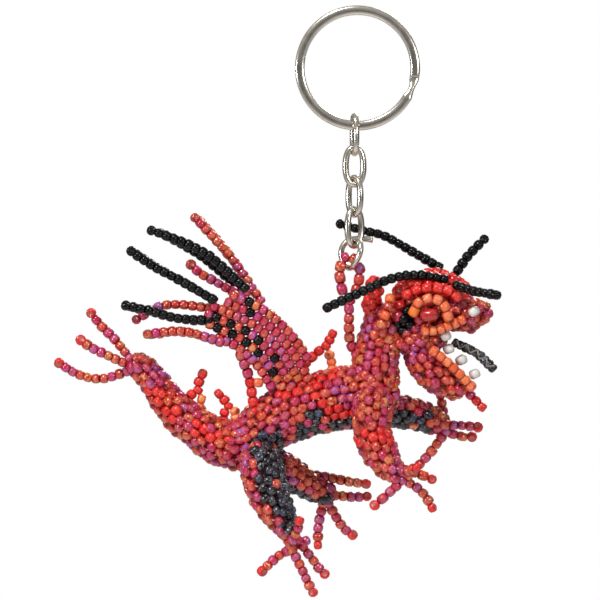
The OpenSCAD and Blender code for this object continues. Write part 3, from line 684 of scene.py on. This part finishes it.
for name, body in body_of_tube.items():
    work = bmesh.new()
    add_core(work, all_rings[name])
    before = []
    for row, (middle, up, side, along, high, deep) in enumerate(all_rings[name]):
        count = max(3, round(math.pi * (high + deep + count_room) / (2 * ring_pitch)))
        ring_now = []
        for i in range(count):
            angle = math.tau * (i + (row % 2) / 2) / count
            rise, across = math.cos(angle), math.sin(angle)
            outward = (up * rise / max(high, 0.5) + side * across / max(deep, 0.5)).normalized()
            place = middle + up * high * rise + side * deep * across
            place += Vector([chance.gauss(0, surface_jitter) for _ in range(3)])
            if keeps_bead(name, place):
                add_bead(work, seed_bead, place, along.cross(outward), body_choice(name, place, outward),
                         bead_len * chance.uniform(*bead_lengths), bead_swell)
                ring_now.append((place, outward))
        for place, outward in ring_now:
            close = [p for p, _ in before if (p - place).length < stitch_reach]
            if close and chance.random() < stitch_share:
                other = chance.choice(close)
                lift = outward * stitch_lift
                add_stitch(work, place.lerp(other, stitch_inset) + lift,
                           other.lerp(place, stitch_inset) + lift, THREAD)
        before = ring_now
    nodes = [name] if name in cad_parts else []
    slot = "opaque_red_beads" if name == "mane_beads" else "ab_red_beads"
    piece = name.replace("_weave", "").replace("_beads", "") + "_bead_weave"
    finish_piece(piece, work, BODY_MIX, body, slot, *nodes)


# ---------------------------------------------------------------- wing panels
# Each wing's inner part is one flat layer of beads, strand sewn beside strand, half a bead out of step.
# Pairs of jet beads run down it from the lowest black rib, and one strand ties its rear corner to the hip.

strand_spacing, panel_pitch = 1.82, 1.62
outer_strand = 6
panel_middle = [(-31.4, 0, -48.6), (-28.9, 0, -49.3), (-25.9, 0, -50.7), (-22.6, 0, -52.2), (-19.5, 0, -54.6),
                (-16.8, 0, -57.6), (-14.6, 0, -61), (-13.2, 0, -63.6), (-12.2, 0, -66)]
wing_outline = [(-22, -44.2), (-16.4, -48.8), (-11.6, -54.6), (-9.4, -59.2), (-9, -62.2), (-13, -64.2),
                (-17.4, -64.8), (-18.8, -62.2), (-20.6, -60.5), (-23.6, -57.9), (-28.6, -54.1),
                (-30.2, -50.5), (-29.4, -47.2), (-25.6, -45.2)]
jet_places = [(-28.9, -49.3), (-27.7, -51.3), (-25.9, -50.7), (-24.9, -52.8), (-22.6, -52.2), (-22.1, -54.3),
              (-19.5, -54.6), (-19.1, -57.1), (-16.8, -57.6), (-16.9, -59.9), (-21.8, -47.2), (-20.6, -48.6)]
tie_strand = [(-23.4, -57.4), (-22.6, -59.2), (-22, -61), (-21.5, -62.9), (-21.1, -65), (-20.8, -67),
              (-20.4, -68.6)]
tie_side_bead = (-19.9, -62.9)
tie_length = 1.95
wing_lean = math.radians(10)
wing_root = Vector((-14.4, -3.2, -61.8))
wing_root_axis = Vector((7.4, 0, 1.6)).normalized()
lean_turn = Matrix.Rotation(wing_lean, 4, wing_root_axis)


def in_outline(x, z, outline):
    """Whether a point is inside a closed outline, by counting the edges above it."""
    inside = False
    for (x1, z1), (x2, z2) in zip(outline, outline[1:] + outline[:1]):
        if (x1 > x) != (x2 > x) and z < z1 + (x - x1) / (x2 - x1) * (z2 - z1):
            inside = not inside
    return inside


def leaned(flat):
    """A place on the near wing's panel, from its place on the flat panel."""
    return wing_root + lean_turn @ (Vector((flat[0], wing_root.y, flat[-1])) - wing_root)


def panel_beads():
    """Flat places and hole axes of the beads of a wing panel, strand by strand."""
    line, run = smooth_route(panel_middle, 8)
    beads = []
    for strand in range(-outer_strand, outer_strand + 1):
        before, wanted = None, (strand % 2) * panel_pitch / 2
        # outer strands are longer than the middle one where the panel bends
        for s in np.arange(0, run[-1], 0.1):
            values, along = at_run(line, run, s)
            flat = Vector(values) - Y.cross(along) * strand * strand_spacing
            wanted -= (flat - before).length if before else 0
            before = flat
            if wanted <= 0:
                wanted += panel_pitch
                if in_outline(flat.x, flat.z, wing_outline):
                    beads.append((flat, along))
    return beads


for side, flip in (("near", 1), ("far", -1)):
    work = bmesh.new()
    flat_beads = panel_beads()
    jets = {min(range(len(flat_beads)), key=lambda i: (flat_beads[i][0] - Vector((x, 0, z))).length)
            for x, z in jet_places}
    line, run = smooth_route([(x, 0, z) for x, z in tie_strand], 8)
    ties = [at_run(line, run, run[-1] * i / (len(tie_strand) - 1)) for i in range(len(tie_strand))]
    if side == "near":
        ties.append(((tie_side_bead[0], 0, tie_side_bead[1]), X))
    choices = [JET if i in jets else any_rainbow() for i in range(len(flat_beads))]
    choices += [any_rainbow() if i < 3 else ORANGE if i == 7 else RED for i in range(len(ties))]
    lengths = [panel_pitch] * len(flat_beads) + [tie_length] * len(ties)
    for (flat, axis), finish, length in zip(flat_beads + ties, choices, lengths):
        place, turned = leaned(flat), lean_turn @ axis
        place.y *= flip
        turned.y *= flip
        add_bead(work, seed_bead, place, turned, finish, length)
    finish_piece(f"wing_{side}_bead_panel", work, GLASS_MIX, f"{side}_wing", "ab_red_beads",
                 f"wing_{side}_weave")


# ---------------------------------------------------------------- bead strands
# Horns, wing ribs, toes, whiskers, spikes and lips are strands: the thread goes out through the beads, round
# the last one, which therefore sits across the strand, and back. Each bead goes where the frame has one.

def cad_beads(node):
    """Centre and hole axis of each separate bead of a CAD node, in millimetres."""
    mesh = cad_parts[node].data
    mesh.calc_loop_triangles()
    corners = np.zeros(len(mesh.vertices) * 3)
    mesh.vertices.foreach_get("co", corners)
    corners = corners.reshape(-1, 3) / MM
    triangles = np.zeros(len(mesh.loop_triangles) * 3, int)
    mesh.loop_triangles.foreach_get("vertices", triangles)
    triangles = triangles.reshape(-1, 3)
    joined = np.unique(np.round(corners, 4), axis=0, return_inverse=True)[1].reshape(-1)[triangles]
    label = np.arange(len(corners))
    changed = True
    while changed:
        spread = label.copy()
        for side in range(3):
            np.minimum.at(spread, joined[:, side], label[joined].min(axis=1))
        spread = spread[spread]
        changed = bool((spread != label).any())
        label = spread
    owner = label[joined[:, 0]]
    a, b, c = (corners[triangles[:, side]] for side in range(3))
    normal = np.cross(b - a, c - a)
    area = np.linalg.norm(normal, axis=1)
    beads = []
    for one in np.unique(owner):
        mine = (owner == one) & (area > 1e-9)
        weight = area[mine]
        centre = ((a + b + c)[mine] / 3 * weight[:, None]).sum(axis=0) / weight.sum()
        facing = normal[mine] / np.sqrt(weight)[:, None]
        spreads, directions = np.linalg.eigh(facing.T @ facing)
        lone = 0 if spreads[1] - spreads[0] > spreads[2] - spreads[1] else 2
        beads.append((Vector(centre), Vector(directions[:, lone])))
    return beads


# the next bead of a strand lies within this reach, and this straight ahead
next_bead_reach, least_alignment = 2.6, 0.72


def strand_rows(node, root):
    """The node's beads as strands, each a list of (place, axis) from the end nearest root to its tip."""
    left = cad_beads(node)
    rows = []
    while left:
        row = [left.pop(0)]
        for end in (0, -1):
            while True:
                here, along = row[end]
                near = [b for b in left if (b[0] - here).length < next_bead_reach
                        and abs((b[0] - here).normalized().dot(along)) > least_alignment]
                if not near:
                    break
                step = min(near, key=lambda b: (b[0] - here).length)
                left.remove(step)
                row.insert(0 if end == 0 else len(row), step)
        if root and (row[0][0] - root).length > (row[-1][0] - root).length:
            row.reverse()
        rows.append(row)
    return rows


def tube_centre(name):
    """The middle of a tube in millimetres."""
    points = tubes[name]
    return sum((Vector(p[:3]) for p in points), Vector()) / len(points)


# waxed cotton, wound over the tongue's beads; its fibres are too fine to show, and are drawn as 0.5 mm tufts
waxed_cotton, tree = new_finish("waxed_grey_cotton")
spot = add_node(tree, "ShaderNodeTexCoord", {}).outputs["Object"]
fibre = add_node(tree, "ShaderNodeTexNoise", {"Vector": spot, "Scale": 2000.0, "Detail": 2.0})
grey = add_node(tree, "ShaderNodeMix",
                {0: fibre.outputs["Fac"], 6: linear("#3c3a34"), 7: linear("#a8a698")}, data_type="RGBA")
close_finish(tree, Base_Color=grey.outputs[2], Roughness=0.6)
COTTON = THREAD + 1
STRAND_MIX = BODY_MIX + (waxed_cotton,)

# the cotton's width, and how far up, down and out from the middle of the beads it lies
cotton_width, cotton_rise, cotton_out = 0.42, 0.62, 0.84
# a strand's beads fill the gaps between their middles, within these lengths, and press together a little
shortest_bead, longest_bead, press = 1.35, 2.3, 1.04
# the most that a hidden bead steps back towards the weave
root_step = 1.6
wing_foot = (-16, -58)


def strands(name, node, body, slot, choose, into=None, most=3, tip_across=True, width=1, rows=None,
            laced=False):
    """Puts a glass bead at each bead of a CAD strand node, and carries each strand down into its weave.

    choose(place, i, count) gives a bead's material index by its place and its number from the root; into
    names the weave that the strand grows from. Strands that touch all along are given as rows of (x, z)
    places instead. A laced strand has cotton wound over it in zigzags.
    """
    work = bmesh.new()
    root = tube_centre(into) if into in tubes else leaned(wing_foot) if into else None
    if rows:
        rows = [[(Vector((x, 0, z)), Z) for x, z in row] for row in rows]
    for row in rows or strand_rows(node, root):
        pitch = (row[-1][0] - row[0][0]).length / (len(row) - 1) if len(row) > 1 else bead_len
        places = [place for place, _ in row]
        if into and len(row) > 1:
            step = (places[0] - places[1]).normalized() * min(pitch, root_step)
            for _ in range(most):
                start = places[0] + step
                places.insert(0, start)
                if into in tubes and depth_inside(start, into) > 0:
                    break
        count = len(places)
        for i, place in enumerate(places):
            ahead, behind = places[min(i + 1, count - 1)], places[max(i - 1, 0)]
            gap = (ahead - behind).length / max(1, (i + 1 < count) + (i > 0))
            axis = (ahead - behind).normalized() if count > 1 else row[0][1]
            length = min(max(gap, shortest_bead), longest_bead) * press
            finish = choose(place, i, count)
            if tip_across and i == count - 1:
                # the turning bead lies across its strand
                axis = axis.cross(Vector([chance.gauss(0, 1) for _ in range(3)])).normalized()
                length = bead_len
            add_bead(work, seed_bead, place, axis, finish, length, width)
            if laced and i:
                rise = axis.cross(Y) * cotton_rise * (-1) ** i
                for lift in (Y * cotton_out, Y * -cotton_out):
                    add_stitch(work, behind + rise + lift, place - rise + lift, COTTON, cotton_width)
    return finish_piece(name, work, STRAND_MIX, body, slot, node)


def all_rainbow(place, i, count):
    return any_rainbow()


def red_tipped(place, i, count):
    return RED if i == count - 1 else any_rainbow()


def all_red(place, i, count):
    return RED


def all_jet(place, i, count):
    return JET


def all_orange(place, i, count):
    return ORANGE


for side in ("near", "far"):
    strands(f"wing_{side}_jet_rib_beads", f"wing_{side}_black_ribs", f"{side}_wing", "black_beads",
            all_jet, "wing", 1)
    strands(f"wing_{side}_red_rib_beads", f"wing_{side}_red_ribs", f"{side}_wing", "ab_red_beads",
            all_rainbow, "wing", 2)
    for pair in ("front", "hind"):
        strands(f"{pair}_{side}_toe_beads", f"leg_{pair}_{side}_toes", f"{side}_{pair}_leg", "ab_red_beads",
                red_tipped, f"leg_{pair}_{side}_weave")

for name in ("horn_near", "horn_far", "antenna_near", "antenna_far"):
    strands(f"{name}_beads", name, "head", "black_beads", all_jet, "head_weave", 1)
for name in ("tail_tip_upper", "tail_tip_middle", "tail_tip_lower"):
    strands(f"{name}_beads", name, "tail", "ab_red_beads", red_tipped, "tail_weave")


# each spike is one red strand, and a short orange prop of three beads stands in front of it
spikes = {
    "tail_spike_front": [[(-26.8, -70.3), (-26.6, -68.9), (-25.8, -67.6), (-26.6, -66.4), (-27.7, -65.2)],
                         [(-24.3, -71), (-24.4, -69.9), (-24.5, -68.7)]],
    "tail_spike_rear": [[(-34.9, -68), (-34.2, -66.6), (-33.2, -65.3), (-31.9, -64.4), (-31.7, -62.8),
                         (-31, -61.2)],
                        [(-32, -69), (-31.6, -67.7), (-31.2, -66.2)]],
    "back_spike": [[(-10.4, -59), (-9.1, -57.8), (-7.7, -56.6), (-6.3, -55.6), (-5.6, -54.4), (-5, -53.2)],
                   [(-5, -60.1), (-5.2, -58.8), (-5.6, -57.4)]],
}
for name, rows in spikes.items():
    strands(f"{name}_beads", name, "torso" if name == "back_spike" else "tail", "opaque_red_beads",
            lambda place, i, count: ORANGE if count == 3 else RED, rows=rows)

# the hanging loop runs once round the open link, and its stem goes down into the back
loop_rows = [[(-1.6, -46.3), (-3.1, -44.2), (-3.5, -41.9), (-3.4, -39.7), (-2.4, -37.9), (-0.7, -38.2),
              (0.4, -40.1), (0.3, -42.3), (-0.3, -44.5)],
             [(-1.7, -48.2), (-1.7, -50.1), (-1.7, -52), (-1.6, -53.9), (-1.1, -55.7), (-0.2, -57.3)]]
strands("cheek_picot_beads", "neck_picot", "torso", "orange_beads",
        lambda place, i, count: ORANGE if place.z > -47 or -50.5 < place.z < -48.5 else GOLD,
        tip_across=False)
strands("hanging_loop_beads", "hanging_loop", "loop", "ab_red_beads", all_rainbow, tip_across=False,
        width=1.06, rows=loop_rows)
strands("crest_bead_rows", "crest_beads", "head", "opaque_red_beads", all_red, tip_across=False)
strands("brow_bead_rows", "brow_beads", "head", "opaque_red_beads", all_red, tip_across=False)
strands("eye_ring_bead_rows", "eye_ring_beads", "head", "orange_beads", all_orange, tip_across=False)
strands("upper_lip_beads", "upper_lip", "head", "orange_beads", all_orange, tip_across=False)
strands("lower_lip_beads", "lower_lip", "lower_jaw", "orange_beads", all_orange, tip_across=False)
strands("chin_beads", "chin_strand", "lower_jaw", "opaque_red_beads",
        lambda place, i, count: VIOLET if i == 1 else RED, "jaw_weave", 1, False)
strands("tongue_beads", "tongue", "lower_jaw", "hematite_beads", lambda place, i, count: DARK,
        tip_across=False, laced=True)


# ---------------------------------------------------------------- teeth and eyes
# The teeth are slightly larger white pearl beads. Each eye is a larger pressed glass barrel.

# opaque white glass with a pearl lustre, painted on as paler patches of sheen
white_pearl = glass_finish("white_pearl_glass", ["#cdc7c2", "#e2ddd8"], ["#f6f2ee", "#efe8ea"], 0.4,
                           "#a79e97", Roughness=0.24, IOR=1.55, Coat_Weight=0.4, Coat_Roughness=0.1)
# lead glass of the eyes, pressed into barrels and polished
eye_glass = glass_finish("pressed_ruby_glass", ["#c00c0e", "#d01812"], ["#e84430", "#e04434"], 0.4, "#700408",
                         Roughness=0.04, IOR=1.7, Transmission_Weight=0.3)

tooth_width, tooth_length = 1.1, 1.75
tooth_axis = Vector((0.5, 0, -1))
for name, body in (("upper_teeth", "head"), ("lower_teeth", "lower_jaw")):
    work = bmesh.new()
    for place, _ in cad_beads(name):
        add_bead(work, seed_bead, place, tooth_axis, 0, tooth_length, tooth_width)
    finish_piece(f"{name}_pearls", work, (white_pearl,), body, "white_beads", name)

eye_r, eye_len = 1.35, 3.5
eye_profile = [(hole_d / 2, -0.46), (0.6 * eye_r, -0.5), (0.88 * eye_r, -0.4), (eye_r, -0.16),
               (eye_r, 0.16), (0.88 * eye_r, 0.4), (0.6 * eye_r, 0.5), (hole_d / 2, 0.46)]
eye_barrel = turned_shape("eye_barrel", eye_profile, eye_len, eye_sides)
work = bmesh.new()
for place, _ in cad_beads("eye_beads"):
    add_bead(work, eye_barrel, place, X, 0)
finish_piece("eye_barrels", work, (eye_glass,), "head", "eye_glass", "eye_beads")
